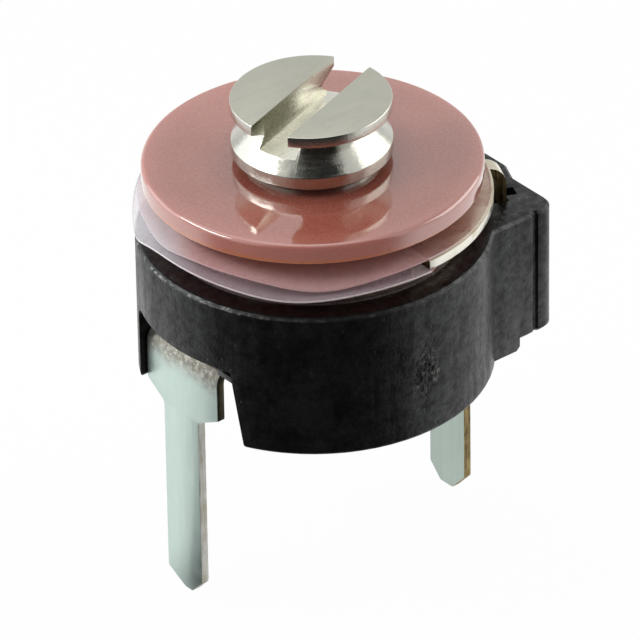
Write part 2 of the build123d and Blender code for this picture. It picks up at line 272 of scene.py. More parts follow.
def black_moulding():
    """Black glass-filled moulding: fine flow marks down the walls, pits, scuffs and dust, a painted
    highlight as a pale broken line at the rim's outer edge, and a painted red reflection inside the rim.
    """
    f = Finish("black_moulding", (0.005, 0.005, 0.0045), 0.42)
    flow = f.noise(1.0, 5.0, 0.6, f.mapping((2600, 2600, 260)))
    grain = f.noise(9000, 3.0, 0.6)
    clouds = f.noise(900, 4.0, 0.6)
    pits = f.remap(f.cells(3000), 0.0, 0.2, 1.0, 0.0)
    height = f.part_of_place("Z")
    radius = f.part_of_place("R")
    top = f.remap(height, (RIM_HEIGHT - 0.05) * MM, (RIM_HEIGHT - 0.01) * MM)
    round_wall = f.remap(radius, (CUP_RADIUS + 0.02) * MM, (CUP_RADIUS + 0.05) * MM, 1.0, 0.0)
    near_rim = f.remap(height, (RIM_HEIGHT - 0.13) * MM, (RIM_HEIGHT - 0.05) * MM)
    near_face = f.remap(radius, (CUP_RADIUS - 0.065) * MM, (CUP_RADIUS - 0.03) * MM)
    arris = f.math("MULTIPLY", f.math("MULTIPLY", near_rim, round_wall), near_face)
    # Painted highlight: a pale broken line along the rim's outer edge, full on the left and faint on the
    # right.
    left = f.remap(f.along(1, 0), -2.6 * MM, -0.8 * MM, 1.0, 0.12)
    painted_rim_highlight = f.math("MULTIPLY", arris, f.remap(f.noise(2600, 4.0, 0.7), 0.45, 0.62))
    painted_rim_highlight = f.math("MULTIPLY", painted_rim_highlight, left)
    # Painted reflection: a dark red tint on the inner wall and the rim top, standing for the red disc
    # mirrored there.
    painted_red_reflection = f.remap(radius, (CUP_RADIUS - 0.25) * MM, (CUP_RADIUS - 0.1) * MM, 1.0, 0.0)
    painted_red_reflection = f.math("MULTIPLY", painted_red_reflection, f.remap(height, 2.9 * MM, 3.2 * MM))
    lug_top = f.math("MULTIPLY", top, f.math("SUBTRACT", 1.0, round_wall))
    scuffs = f.math("MULTIPLY", lug_top, f.remap(f.noise(4200, 4.0, 0.7), 0.56, 0.7))
    dust = f.remap(f.noise(6500, 2.0, 0.5), 0.70, 0.78)
    base = f.mix(f.remap(clouds, 0.35, 0.7), (0.0035, 0.0035, 0.003), (0.009, 0.009, 0.009))
    base = f.mix(f.math("MULTIPLY", dust, 0.12), base, (0.16, 0.16, 0.155))
    base = f.mix(f.math("MULTIPLY", scuffs, 0.5), base, (0.16, 0.16, 0.155))
    # The painted red reflection goes over the base colour inside the rim.
    base = f.mix(painted_red_reflection, base, (0.016, 0.0045, 0.0035))
    # The painted highlight goes over the base colour.
    base = f.mix(f.math("MULTIPLY", painted_rim_highlight, 0.8), base, (0.42, 0.42, 0.40))
    f.color(base)
    f.roughness(f.remap(f.math("ADD", flow, f.math("MULTIPLY", grain, 0.5)), 0.5, 1.0, 0.27, 0.5))
    mottle = f.math("ADD", f.noise(3600, 6.0, 0.7), f.math("MULTIPLY", f.noise(900, 2.0, 0.5), 0.2))
    f.link(f.remap(mottle, 0.42, 0.78, 0.22, 0.57), f.shader.inputs["Specular IOR Level"])
    f.bump(flow, 0.022, 0.6)
    f.bump(grain, 0.016, 0.6)
    f.bump(clouds, 0.03, 0.35)
    f.bump(pits, -0.02, 0.6)
    f.shader.inputs["Specular Tint"].default_value = (0.95, 1.0, 0.985, 1)
    return f.material


def broken_moulding():
    """The torn surface where the moulding's gate was broken off."""
    f = Finish("broken_moulding", (0.02, 0.02, 0.02), 0.42)
    tears = f.noise(5200, 5.0, 0.7)
    f.color(f.mix(f.remap(tears, 0.54, 0.68), (0.003, 0.003, 0.003), (0.19, 0.185, 0.17)))
    f.bump(tears, 0.09, 1.0)
    return f.material


def nickel(name, color, low, high, streaks, turn=0.0, depth=0.004):
    """Plated metal, its roughness from low to high, with marks along the axis of the smallest scale."""
    f = Finish(name, color, 0.3, 1.0)
    marks = f.noise(1.0, 6.0, 0.65, f.mapping(streaks, (0, 0, turn)))
    fine = f.noise(14000, 3.0, 0.6)
    tarnish = f.remap(f.noise(900, 4.0, 0.6), 0.45, 0.75)
    spots = f.remap(f.noise(2300, 3.0, 0.6), 0.69, 0.74)
    dull = tuple(c * 0.86 for c in color)
    base = f.mix(f.math("MULTIPLY", tarnish, 0.5), color, dull)
    base = f.mix(f.math("MULTIPLY", spots, 0.5), base, (0.55, 0.42, 0.18))
    f.color(base)
    f.roughness(f.remap(f.math("ADD", marks, f.math("MULTIPLY", fine, 0.4)), 0.45, 0.95, low, high))
    f.bump(marks, depth, 0.7)
    f.bump(fine, depth * 0.6, 0.5)
    f.bump(f.noise(1500, 3.0, 0.6), depth * 3, 0.5)
    return f.material


def red_plastic():
    """Glossy, slightly translucent plastic, with painted shade round the head and orange towards its lower
    edge.
    """
    f = Finish("red_plastic", (0.38, 0.105, 0.072), 0.07)
    clouds = f.noise(420, 3.0, 0.5)
    speckle = f.noise(9000, 2.0, 0.5)
    height = f.part_of_place("Z")
    radius = f.part_of_place("R")
    low_edge = f.remap(height, (DISC_BASE - 0.02) * MM, (DISC_BASE + 0.17) * MM, 1.0, 0.0)
    side = f.remap(radius, (DISC_RADIUS - 0.12) * MM, (DISC_RADIUS - 0.02) * MM)
    rim = f.remap(radius, (DISC_RADIUS - 0.75) * MM, DISC_RADIUS * MM)
    base = f.mix(f.remap(clouds, 0.35, 0.7), (0.315, 0.082, 0.055), (0.36, 0.105, 0.073))
    base = f.mix(f.math("MULTIPLY", rim, 0.25), base, (0.56, 0.23, 0.18))
    # Painted shade: darker round the head, where the head shades the disc and its dark underside is mirrored
    # in it.
    painted_shade_near_head = f.remap(radius, HEAD_RADIUS * MM, (HEAD_RADIUS + 1.0) * MM, 0.3, 0.0)
    base = f.mix(painted_shade_near_head, base, (0.15, 0.03, 0.018))
    base = f.mix(f.math("MULTIPLY", side, 0.7), base, (0.56, 0.22, 0.18))
    base = f.mix(f.math("MULTIPLY", low_edge, 0.95), base, (0.60, 0.19, 0.06))
    base = f.mix(f.math("MULTIPLY", f.remap(speckle, 0.62, 0.75), 0.12), base, (0.7, 0.42, 0.38))
    base = f.mix(f.remap(f.noise(15000, 2.0, 0.6), 0.35, 0.65, 0.0, 0.16), base, (0.62, 0.30, 0.24))
    f.color(base)
    f.roughness(f.remap(clouds, 0.3, 0.7, 0.05, 0.1))
    f.bump(clouds, 0.02, 0.25)
    f.set(IOR=1.6, Subsurface_Weight=0.2, Subsurface_Scale=0.0006)
    f.set(Coat_Weight=1.0, Coat_Roughness=0.05, Coat_IOR=1.88)
    f.shader.inputs["Subsurface Radius"].default_value = (1.0, 0.35, 0.25)
    return f.material


def frosted_film(name, alpha, color, painted_reflection_color, plate_alpha=None):
    """Milky film that shows what lies under it, with a painted reflection of the red disc above that fades
    out towards its left edge.
    """
    f = Finish(name, color, 0.3)
    haze = f.noise(600, 4.0, 0.6)
    milky = f.mix(f.remap(haze, 0.35, 0.7), color, tuple(min(1.0, c * 1.08) for c in color))
    # Painted reflection: the red disc above mirrored on the film, fading out towards the left edge.
    painted_reflection_mask = f.remap(f.along(1, 0), -4.3 * MM, -3.0 * MM)
    f.color(f.mix(painted_reflection_mask, milky, painted_reflection_color))
    f.roughness(f.remap(f.noise(2500, 3.0, 0.6), 0.3, 0.7, 0.2, 0.4))
    f.bump(haze, 0.012, 0.3)
    if plate_alpha is None:
        f.set(Alpha=alpha)
    else:
        over_plate = f.remap(f.part_of_place("X"), -0.1 * MM, 0.1 * MM, alpha, plate_alpha)
        f.link(over_plate, f.shader.inputs["Alpha"])
    return f.material


def rolled_brass(name="silvered_brass", color=(0.70, 0.64, 0.50), dark=(0.42, 0.32, 0.16)):
    """Rolled sheet under a thin silvery plating that is worn through to the brass."""
    f = Finish(name, color, 0.34, 1.0)
    roll = f.noise(1.0, 4.0, 0.6, f.mapping((900, 5200, 3000)))
    wear = f.remap(f.noise(1500, 5.0, 0.65), 0.48, 0.68)
    f.color(f.mix(f.math("MULTIPLY", wear, 0.6), color, dark))
    f.roughness(f.remap(roll, 0.3, 0.7, 0.24, 0.44))
    f.bump(roll, 0.006, 0.6)
    return f.material


def tin_plate(name, dark, light):
    """Satin tin plate with a pale blue-green cast, dulled and speckled where it is bent."""
    f = Finish(name, light, 0.42, 1.0)
    mottle = f.noise(1300, 5.0, 0.62)
    grain = f.noise(6500, 4.0, 0.65)
    draw = f.noise(1.0, 4.0, 0.6, f.mapping((6000, 6000, 500)))
    height = f.part_of_place("Z")
    bend = f.math("ADD", height, f.math("MULTIPLY", f.noise(1200, 3.0, 0.5), 0.6 * MM))
    bent = f.remap(bend, 0.95 * MM, 1.75 * MM)
    speckle = f.remap(grain, 0.40, 0.68)
    pale = f.mix(f.remap(mottle, 0.38, 0.66), dark, light)
    worked = f.mix(speckle, (0.30, 0.285, 0.24), (0.66, 0.645, 0.575))
    f.color(f.mix(bent, pale, worked))
    f.roughness(f.remap(f.math("ADD", mottle, f.math("MULTIPLY", draw, 0.5)), 0.5, 1.0, 0.36, 0.52))
    f.bump(draw, 0.005, 0.5)
    f.bump(mottle, 0.012, 0.4)
    return f.material


def sheared_edge(name, light, dark, metallic=1.0):
    """The cut edge of the sheet: part smooth, part torn, with brass showing."""
    f = Finish(name, light, 0.5, metallic)
    tears = f.noise(1.0, 4.0, 0.7, f.mapping((9000, 2000, 700)))
    patches = f.noise(1800, 4.0, 0.6)
    f.color(f.mix(f.remap(f.math("ADD", tears, f.math("MULTIPLY", patches, 0.5)), 0.55, 0.95), dark, light))
    f.roughness(f.remap(tears, 0.3, 0.7, 0.4, 0.65))
    f.bump(tears, 0.012, 0.7)
    return f.material


# Mesh helpers


def finish_mesh(name, bm, materials, scale=MM):
    """A linked object with its place in its mesh, which comes in millimetres."""
    bmesh.ops.scale(bm, vec=(scale, scale, scale), verts=bm.verts)
    mesh = bpy.data.meshes.new(name)
    bm.to_mesh(mesh)
    bm.free()
    for material in materials:
        mesh.materials.append(material)
    piece = bpy.data.objects.new(name, mesh)
    bpy.context.scene.collection.objects.link(piece)
    return piece


def arc_corner(before, corner, after, radius, steps):
    """Points of a round that replaces one corner of an outline."""
    a = (Vector(before) - Vector(corner)).normalized()
    b = (Vector(after) - Vector(corner)).normalized()
    half = a.angle(b) / 2
    reach = radius / math.tan(half)
    start = Vector(corner) + a * reach
    end = Vector(corner) + b * reach
    middle = Vector(corner) + (a + b).normalized() * (radius / math.sin(half))
    points = []
    for step in range(steps + 1):
        t = step / steps
        ray = (start - middle).lerp(end - middle, t).normalized()
        points.append(tuple(middle + ray * radius))
    return points


def rounded(outline, steps=4, closed=True):
    """An outline of (x, y, corner radius) with its corners rounded."""
    points = []
    count = len(outline)
    for index, (x, y, radius) in enumerate(outline):
        if radius <= 0 or (not closed and index in (0, count - 1)):
            points.append((x, y))
            continue
        before = outline[index - 1][:2]
        after = outline[(index + 1) % count][:2]
        points.extend(arc_corner(before, (x, y), after, radius, steps))
    return points


def lathe(profile, segments, closed=False):
    """Turns (radius, height) points round Z. A closed profile makes a ring; an open one ends on the axis."""
    bm = bmesh.new()
    rings = []
    for radius, height in profile:
        if radius < 1e-6:
            rings.append([bm.verts.new((0, 0, height))])
            continue
        ring = []
        for step in range(segments):
            angle = 2 * math.pi * step / segments
            ring.append(bm.verts.new((radius * math.cos(angle), radius * math.sin(angle), height)))
        rings.append(ring)
    pairs = list(zip(rings, rings[1:]))
    if closed:
        pairs.append((rings[-1], rings[0]))
    for lower, upper in pairs:
        for step in range(segments):
            following = (step + 1) % segments
            corners = [lower[step % len(lower)], lower[following % len(lower)]]
            corners += [upper[following % len(upper)], upper[step % len(upper)]]
            unique = list(dict.fromkeys(corners))
            bm.faces.new(unique)
    bmesh.ops.recalc_face_normals(bm, faces=bm.faces)
    return bm


def apply_modifiers(piece):
    """Puts a piece's modifiers into its mesh."""
    graph = bpy.context.evaluated_depsgraph_get()
    made = bpy.data.meshes.new_from_object(piece.evaluated_get(graph))
    piece.modifiers.clear()
    piece.data = made


def smooth(piece, angle=32.0):
    """Smooth shading with sharp edges kept at steep corners."""
    mesh = piece.data
    mesh.polygons.foreach_set("use_smooth", [True] * len(mesh.polygons))
    bm = bmesh.new()
    bm.from_mesh(mesh)
    for edge in bm.edges:
        edge.smooth = len(edge.link_faces) == 2 and edge.calc_face_angle(0) < math.radians(angle)
    bm.to_mesh(mesh)
    bm.free()


def cut(piece, *cutters):
    """Takes solids away from a piece and removes them."""
    for cutter in cutters:
        modifier = piece.modifiers.new("cut", "BOOLEAN")
        modifier.operation = "DIFFERENCE"
        modifier.solver = "EXACT"
        modifier.object = cutter
    apply_modifiers(piece)
    for cutter in cutters:
        bpy.data.objects.remove(cutter)


def block(name, low, high, turn=0.0):
    """A plain cutting block in millimetres, turned round Z."""
    bm = bmesh.new()
    bmesh.ops.create_cube(bm, size=1.0)
    for vert in bm.verts:
        spot = Vector([low[i] + (high[i] - low[i]) * (vert.co[i] + 0.5) for i in range(3)])
        x = spot.x * math.cos(turn) - spot.y * math.sin(turn)
        y = spot.x * math.sin(turn) + spot.y * math.cos(turn)
        vert.co = (x, y, spot.z)
    return finish_mesh(name, bm, [])


def from_solid(node, materials, width, segments=2, angle=30.0):
    """A merged copy of a solid's mesh with its corners rounded, to stand for the solid."""
    bm = bmesh.new()
    bm.from_mesh(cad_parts[node].data)
    bmesh.ops.remove_doubles(bm, verts=bm.verts, dist=0.0004 * MM)
    bmesh.ops.dissolve_limit(
        bm, angle_limit=math.radians(0.5), use_dissolve_boundaries=False, verts=bm.verts, edges=bm.edges
    )
    piece = finish_mesh(node + "_finished", bm, materials, 1.0)
    bevel = piece.modifiers.new("corner_round", "BEVEL")
    bevel.width = width * MM
    bevel.segments = segments
    bevel.limit_method = "ANGLE"
    bevel.angle_limit = math.radians(angle)
    bevel.use_clamp_overlap = True
    apply_modifiers(piece)
    smooth(piece, 35.0)
    return piece


def settle(piece, body, slot, *nodes):
    """Says what a piece rides on and hides the solids that it stands for; its finish's slot is not used."""
    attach(piece, body)
    if nodes:
        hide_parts(*nodes)
    return piece


# Geometry node helpers


class NodeTree:
    """A geometry tree under construction."""

    def __init__(self, name):
        self.tree = bpy.data.node_groups.new(name, "GeometryNodeTree")
        self.tree.interface.new_socket("Geometry", in_out="OUTPUT", socket_type="NodeSocketGeometry")
        self.sockets = {}
        self.entry = self.tree.nodes.new("NodeGroupInput")
        self.exit = self.tree.nodes.new("NodeGroupOutput")

    def size(self, name, default):
        socket = self.tree.interface.new_socket(name, in_out="INPUT", socket_type="NodeSocketFloat")
        socket.default_value = default
        self.sockets[name] = socket.identifier
        return self.entry.outputs[name]

    def node(self, kind, **links):
        made = self.tree.nodes.new(kind)
        for key, value in links.items():
            self.put(made.inputs[key.replace("_", " ")], value)
        return made

    def put(self, socket, value):
        if hasattr(value, "is_linked"):
            self.tree.links.new(value, socket)
        else:
            socket.default_value = value

    def calc(self, operation, *values):
        made = self.tree.nodes.new("ShaderNodeMath")
        made.operation = operation
        for socket, value in zip(made.inputs, values):
            self.put(socket, value)
        return made.outputs[0]

    def close(self, geometry, material):
        real = self.node("GeometryNodeRealizeInstances", Geometry=geometry)
        coat = self.node("GeometryNodeSetMaterial", Geometry=real.outputs[0])
        coat.inputs["Material"].default_value = material
        self.tree.links.new(coat.outputs[0], self.exit.inputs[0])


def run_tree(tree, name, values):
    """Runs a geometry tree on an empty object and keeps the plain mesh."""
    piece = bpy.data.objects.new(name, bpy.data.meshes.new(name))
    bpy.context.scene.collection.objects.link(piece)
    modifier = piece.modifiers.new("made_by_rule", "NODES")
    modifier.node_group = tree.tree
    for key, value in values.items():
        modifier[tree.sockets[key]] = value
    graph = bpy.context.evaluated_depsgraph_get()
    made = bpy.data.meshes.new_from_object(piece.evaluated_get(graph))
    piece.modifiers.clear()
    piece.data = made
    made.name = name
    return piece


def film_tree(material):
    """A thin round film with a bore, which dips at two places of its rim and is flat near its bore."""
    t = NodeTree("rippled_film")
    radius = t.size("Radius", 0.0049)
    narrowing = t.size("Narrowing", 0.0)
    bore = t.size("Bore", 0.0016)
    height = t.size("Height", 0.0056)
    thickness = t.size("Thickness", 0.00006)
    flat = t.size("Flat Radius", 0.00405)
    ripple = t.size("Ripple", 0.00002)
    grid = t.node("GeometryNodeMeshGrid")
    t.put(grid.inputs["Size X"], 1.0)
    t.put(grid.inputs["Size Y"], 1.0)
    t.put(grid.inputs["Vertices X"], 289)
    t.put(grid.inputs["Vertices Y"], 22)
    place = t.node("GeometryNodeInputPosition")
    apart = t.node("ShaderNodeSeparateXYZ", Vector=place.outputs[0])
    around = t.calc("MULTIPLY", apart.outputs["X"], 2 * math.pi)
    outwards = t.calc("ADD", apart.outputs["Y"], 0.5)
    towards_plate = t.calc("MAXIMUM", t.calc("MULTIPLY", t.calc("COSINE", around), 14.0), 0.0)
    plate_side = t.calc("SMOOTH_MIN", towards_plate, 1.0, 0.3)
    rim = t.calc("SUBTRACT", radius, t.calc("MULTIPLY", plate_side, narrowing))
    reach = t.calc("ADD", bore, t.calc("MULTIPLY", outwards, t.calc("SUBTRACT", rim, bore)))
    beyond = t.calc("DIVIDE", t.calc("SUBTRACT", reach, flat), t.calc("SUBTRACT", radius, flat))
    free = t.calc("POWER", t.calc("MAXIMUM", beyond, 0.0), 1.3)
    dip = 0.0
    for name in ("First", "Second"):
        angle = t.size(name + " Dip Angle", 0.0)
        width = t.size(name + " Dip Width", 0.2)
        depth = t.size(name + " Dip Depth", 0.0)
        apart_by = t.calc("SUBTRACT", 1.0, t.calc("COSINE", t.calc("SUBTRACT", around, angle)))
        spread = t.calc("SUBTRACT", 1.0, t.calc("COSINE", width))
        bell = t.calc("EXPONENT", t.calc("MULTIPLY", t.calc("DIVIDE", apart_by, spread), -1.0))
        dip = t.calc("ADD", dip, t.calc("MULTIPLY", depth, bell))
    wave = t.calc("MULTIPLY", t.calc("SINE", t.calc("MULTIPLY", around, 7.0)), ripple)
    lift = t.calc("MULTIPLY", free, t.calc("SUBTRACT", wave, dip))
    spot = t.node("ShaderNodeCombineXYZ")
    t.put(spot.inputs["X"], t.calc("MULTIPLY", reach, t.calc("COSINE", around)))
    t.put(spot.inputs["Y"], t.calc("MULTIPLY", reach, t.calc("SINE", around)))
    t.put(spot.inputs["Z"], t.calc("ADD", height, lift))
    laid = t.node("GeometryNodeSetPosition", Geometry=grid.outputs["Mesh"], Position=spot.outputs[0])
    sheet = t.node("GeometryNodeMergeByDistance", Geometry=laid.outputs[0], Distance=1e-7)
    up = t.node("ShaderNodeCombineXYZ", Z=thickness)
    raised = t.node("GeometryNodeExtrudeMesh", Mesh=sheet.outputs[0])
    raised.inputs["Individual"].default_value = False
    t.put(raised.inputs["Offset"], up.outputs[0])
    t.put(raised.inputs["Offset Scale"], 1.0)
    under = t.node("GeometryNodeFlipFaces", Mesh=sheet.outputs[0])
    both = t.node("GeometryNodeJoinGeometry")
    t.tree.links.new(raised.outputs[0], both.inputs[0])
    t.tree.links.new(under.outputs[0], both.inputs[0])
    welded = t.node("GeometryNodeMergeByDistance", Geometry=both.outputs[0], Distance=1e-7)
    t.close(welded.outputs[0], material)
    return t


# Pieces


def lean(piece):
    """Leans a rotor piece a little to the photograph's left."""
    away = screen_direction(0, 1, 0)
    base = Vector((0, 0, LEAN_BASE * MM))
    turn = Matrix.Rotation(math.radians(-LEAN), 4, away)
    drop = Matrix.Translation((0, 0, -HEAD_RADIUS * MM * math.sin(math.radians(LEAN))))
    piece.data.transform(drop @ Matrix.Translation(base) @ turn @ Matrix.Translation(-base))


def make_spindle(materials):
    """The turned spindle: slotted head with a V groove, flange, neck, keyed shaft and riveted end."""
    flange_top = FLANGE_BASE + FLANGE_HEIGHT
    # radius, height and corner radius of each point, from the riveted end upwards
    profile = [
        (0.0, RIVET_TOP - RIVET_HEIGHT, 0),
        (RIVET_RADIUS, RIVET_TOP - RIVET_HEIGHT, 0.09),
        (RIVET_RADIUS, RIVET_TOP, 0.02),
        (JOURNAL_RADIUS, RIVET_TOP, 0),
        (JOURNAL_RADIUS, SHAFT_BASE, 0),
        (SHAFT_RADIUS, SHAFT_BASE, 0.02),
        (SHAFT_RADIUS, DISC_TOP, 0),
        (NECK_RADIUS, DISC_TOP, 0),
        (NECK_RADIUS, FLANGE_BASE, 0.02),
        (HEAD_RADIUS, FLANGE_BASE, 0.05),
        (HEAD_RADIUS, flange_top, 0.045),
        (GROOVE_RADIUS, flange_top + HEAD_RADIUS - GROOVE_RADIUS, 0.05),
        (HEAD_RADIUS, HEAD_TOP - HEAD_RIM, 0.03),
        (HEAD_RADIUS, HEAD_TOP, 0.035),
        (0.0, HEAD_TOP, 0),
    ]
    points = rounded(profile, 4, closed=False)
    bm = lathe(points, 160)
    piece = finish_mesh("rotor_spindle_finished", bm, materials)
    turn = math.radians(SLOT_ANGLE)
    half = SLOT_WIDTH / 2
    slot = block("slot_cutter", (-4, -half, HEAD_TOP - SLOT_DEPTH), (4, half, HEAD_TOP + 1), turn)
    flats = [
        block("flat_cutter", (-2, SHAFT_FLAT, SHAFT_BASE - 0.06), (2, 2, DISC_TOP - 0.001), turn),
        block("flat_cutter", (-2, -2, SHAFT_BASE - 0.06), (2, -SHAFT_FLAT, DISC_TOP - 0.001), turn),
    ]
    cut(piece, slot, *flats)
    bevel = piece.modifiers.new("burr_free", "BEVEL")
    bevel.width = 0.022 * MM
    bevel.segments = 2
    bevel.limit_method = "ANGLE"
    bevel.angle_limit = math.radians(50)
    apply_modifiers(piece)
    smooth(piece, 30.0)
    floor_height = HEAD_TOP - SLOT_DEPTH
    for face in piece.data.polygons:
        middle = face.center / MM
        across = -middle.x * math.sin(turn) + middle.y * math.cos(turn)
        if face.normal.z > 0.95 and middle.z > HEAD_TOP - 0.05:
            face.material_index = 1
        elif middle.z > floor_height - 0.03 and abs(across) < half + 0.03:
            face.material_index = 2 if face.normal.z > 0.7 else 3
    lean(piece)
    return settle(piece, ROTOR_BODY, "nickel", "rotor_spindle")


def make_disc(material):
    """The red disc, with a soft round at its rim."""
    outline = [
        (SHAFT_RADIUS + 0.01, DISC_BASE, 0),
        (DISC_RADIUS, DISC_BASE, 0.06),
        (DISC_RADIUS, DISC_TOP, 0.13),
        (SHAFT_RADIUS + 0.01, DISC_TOP, 0),
    ]
    bm = lathe(rounded(outline, 6), 220, closed=True)
    piece = finish_mesh("cover_disc_finished", bm, [material])
    smooth(piece, 40.0)
    lean(piece)
    return settle(piece, ROTOR_BODY, "red_plastic", "cover_disc")


def make_films(under, over, edge, plate_edge):
    """The two films that show above the rim, dipped at their rims as the real ones are."""
    # node, radius, narrowing, height, then angle, width and depth of each dip
    rows = (
        ("film_8", under, 5.1, 0.17, PLATE_HEIGHT - FILM, (150, 15, 0.55), (222, 20, 0.24)),
        ("film_9", over, 4.95, 0.0, PLATE_HEIGHT + SHEET, (172, 11, 0.2), (231, 18, 0.28)),
    )
    for node, face, radius, narrowing, height, first, second in rows:
        values = {
            "Radius": radius * MM,
            "Narrowing": narrowing * MM,
            "Bore": FILM_BORE * MM,
            "Height": height * MM,
            "Thickness": FILM * MM,
            "Flat Radius": 4.05 * MM,
            "Ripple": 0.015 * MM,
        }
        for name, (angle, width, depth) in (("First", first), ("Second", second)):
            values[name + " Dip Angle"] = math.radians(angle)
            values[name + " Dip Width"] = math.radians(width)
            values[name + " Dip Depth"] = depth * MM
        piece = run_tree(film_tree(face), node + "_rippled", values)
        if narrowing > 0:
            half = POST_WIDTH / 2
            turns = (math.radians(POST_ANGLE), -math.radians(POST_ANGLE))
            cut(piece, *[block("post_notch", (4.36, -half, 5), (5.6, half, 5.5), turn) for turn in turns])
            piece.data.materials.clear()
            piece.data.materials.append(face)
        piece.data.materials.append(edge)
        piece.data.materials.append(plate_edge)
        for polygon in piece.data.polygons:
            middle = polygon.center / MM
            outside = math.hypot(middle.x, middle.y) > radius - narrowing - 0.01
            if outside and abs(polygon.normal.z) < 0.7:
                # Edge faces beside the plate take the painted shade edge, the other edge faces the pale film
                # edge.
                polygon.material_index = 2 if middle.x > 0 else 1
        smooth(piece, 40.0)
        settle(piece, HOUSING_BODY, "clear_film", node)


def make_gate_scar(material):
    """The torn stub that the moulding's gate left, with pits and a raised edge."""
    bm = bmesh.new()
    columns, rows = 46, 60
    half_width, half_height = 0.5, 0.78
    proud, sunk = 0.044, 0.03
    grid = []
    for row in range(rows + 1):
        line = []
        for column in range(columns + 1):
            u = 2 * column / columns - 1
            v = 2 * row / rows - 1
            across = u * half_width
            up = v * half_height
            seed = Vector((across * 5.1, up * 5.1, 3.7))
            ragged = 0.45 * noise.fractal(seed * 0.5, 0.8, 2.1, 3)
            fade = max(0.0, 1 - (u * u + v * v) ** 1.2 - abs(ragged))
            torn = noise.fractal(seed, 0.8, 2.1, 5)
            fine = noise.fractal(seed * 3.2, 0.8, 2.1, 3)
            depth = fade * (0.012 + 0.07 * torn + 0.022 * fine)
            angle = math.atan2(-CUP_RADIUS, GATE[0]) + across / CUP_RADIUS
            radius = CUP_RADIUS + min(proud, max(-sunk, depth)) + 0.004 * fade
            if fade == 0.0:
                radius = CUP_RADIUS - sunk
            line.append(bm.verts.new((radius * math.cos(angle), radius * math.sin(angle), GATE[1] + up)))
        grid.append(line)
    for row in range(rows):
        for column in range(columns):
            lower = grid[row][column : column + 2]
            upper = grid[row + 1][column : column + 2]
            bm.faces.new((lower[0], lower[1], upper[1], upper[0]))
    back = bmesh.ops.extrude_face_region(bm, geom=bm.faces[:])
    for item in back["geom"]:
        if isinstance(item, bmesh.types.BMVert):
            reach = math.hypot(item.co.x, item.co.y)
            item.co.x *= (CUP_RADIUS - 0.14) / reach
            item.co.y *= (CUP_RADIUS - 0.14) / reach
    bmesh.ops.recalc_face_normals(bm, faces=bm.faces)
    piece = finish_mesh("gate_scar", bm, [material])
    smooth(piece, 60.0)
    return settle(piece, HOUSING_BODY, "black_moulding")


def mark_cut_edges(piece, shoulder_foot=-0.45, top=1.75):
    """Gives a blade's cut sides their own material: the second at the shoulders, the third at the pin."""
    for face in piece.data.polygons:
        middle = face.center / MM
        if abs(face.normal.x) < 0.5 and abs(face.normal.y) + abs(face.normal.z) > 0.7 and middle.z < top:
            if middle.z > shoulder_foot:
                if abs(face.normal.y) > 0.7:
                    face.material_index = 1
            else:
                face.material_index = 2


def mark_plate_edges(piece):
    """Gives the plate's straight edge and its legs' cut sides the second material, its rim the third."""
    for face in piece.data.polygons:
        middle = face.center / MM
        reach = math.hypot(middle.x, middle.y)
        outwards = (face.normal.x * middle.x + face.normal.y * middle.y) / max(reach, 0.001)
        on_rim = reach > PLATE_RADIUS - 0.1 and middle.z > PLATE_HEIGHT
        if abs(face.normal.z) < 0.5 and abs(outwards) < 0.6:
            face.material_index = 1
        elif abs(face.normal.z) < 0.8 and outwards > 0.5 and on_rim:
            face.material_index = 2


def dress_nodes(finishes):
    """The solids that stay as they are get their material."""
    for node, material in finishes.items():
        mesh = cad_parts[node].data
        mesh.materials.clear()
        mesh.materials.append(material)


# The studio

ROOM_LEVEL = 0.77
DARK_LEVEL = 0.02
# Angles from the front, where darkness begins and is full at the left, then is full and ends at the right
ROOM_STRIP = (-60.0, -12.0, 44.0, 58.0)
FLOOR_SECTOR = (-88.0, -53.0, 36.0, 76.0)
FLOOR_LEVEL = -6.53
FLOOR_REACH = 400
FLOOR_WHITE = 0.97
LAMP_DISTANCE = 60


def front_angle(tree, vector):
    """Nodes for a direction's or a place's angle from the front, positive to the photograph's right."""
    parts = []
    for axis in (screen_direction(1, 0, 0), screen_direction(0, -1, 0)):
        dot = tree.nodes.new("ShaderNodeVectorMath")
        dot.operation = "DOT_PRODUCT"
        tree.links.new(vector, dot.inputs[0])
        dot.inputs[1].default_value = axis
        parts.append(dot.outputs["Value"])
    angle = tree.nodes.new("ShaderNodeMath")
    angle.operation = "ARCTAN2"
    tree.links.new(parts[0], angle.inputs[0])
    tree.links.new(parts[1], angle.inputs[1])
    return angle.outputs[0]


def dark_sector(tree, angle, left_outer, left_inner, right_inner, right_outer):
    """Nodes that give 1 between the inner angles and 0 beyond the outer ones, in degrees from the front."""
    left = ramp(tree, angle, math.radians(left_outer), math.radians(left_inner), 0.0, 1.0)
    right = ramp(tree, angle, math.radians(right_inner), math.radians(right_outer), 1.0, 0.0)
    return product(tree, left, right)


def ramp(tree, value, low, high, to_low, to_high):
    """A smooth ramp between two values."""
    node = tree.nodes.new("ShaderNodeMapRange")
    node.interpolation_type = "SMOOTHSTEP"
    tree.links.new(value, node.inputs["Value"])
    node.inputs["From Min"].default_value = low
    node.inputs["From Max"].default_value = high
    node.inputs["To Min"].default_value = to_low
    node.inputs["To Max"].default_value = to_high
    return node.outputs["Result"]


def product(tree, first, second):
    """A node that multiplies two outputs."""
    node = tree.nodes.new("ShaderNodeMath")
    node.operation = "MULTIPLY"
    tree.links.new(first, node.inputs[0])
    tree.links.new(second, node.inputs[1])
    return node.outputs[0]


